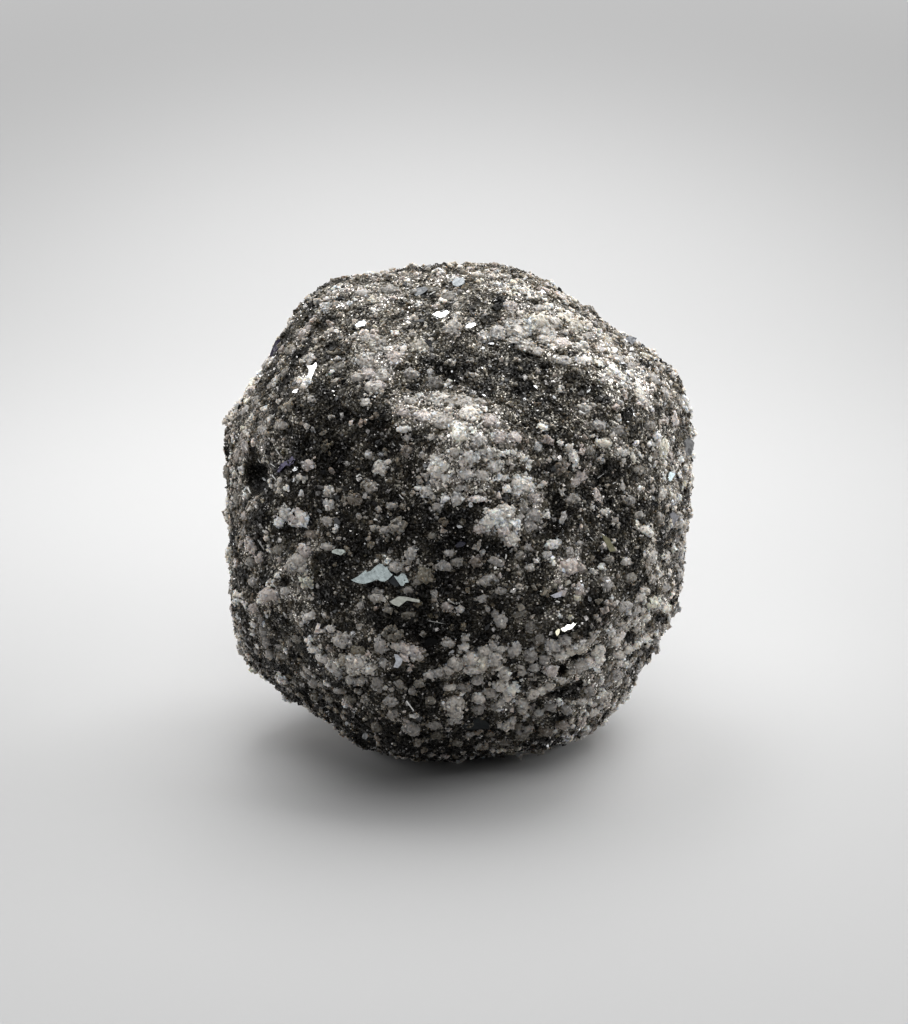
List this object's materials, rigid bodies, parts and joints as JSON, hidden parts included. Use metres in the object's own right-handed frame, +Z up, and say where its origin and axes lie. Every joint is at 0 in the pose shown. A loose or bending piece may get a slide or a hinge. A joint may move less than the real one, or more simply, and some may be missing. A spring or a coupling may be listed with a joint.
{
  "type": "hematite mineral specimen",
  "caption": "Blocky, rounded, many-faced hematite specimen, crusted all over with pale quartz-like grains and dark glittering plates, standing on its own small flat foot.",
  "frame": {"origin": "middle of the object's box at the height of the surface it stands on", "axes": "+Z up, the object's longest extent; +X to the right and -Y towards the viewer when the object is seen from the pictured side"},
  "size_m": [0.0598, 0.059, 0.0613],
  "materials": {
    "hematite_rock": "granular, dark grey to black with whitish and cream grains, glittering"
  },
  "bodies": {
    "root": {"hematite_mass": "hematite_rock"}
  },
  "joints": []
}
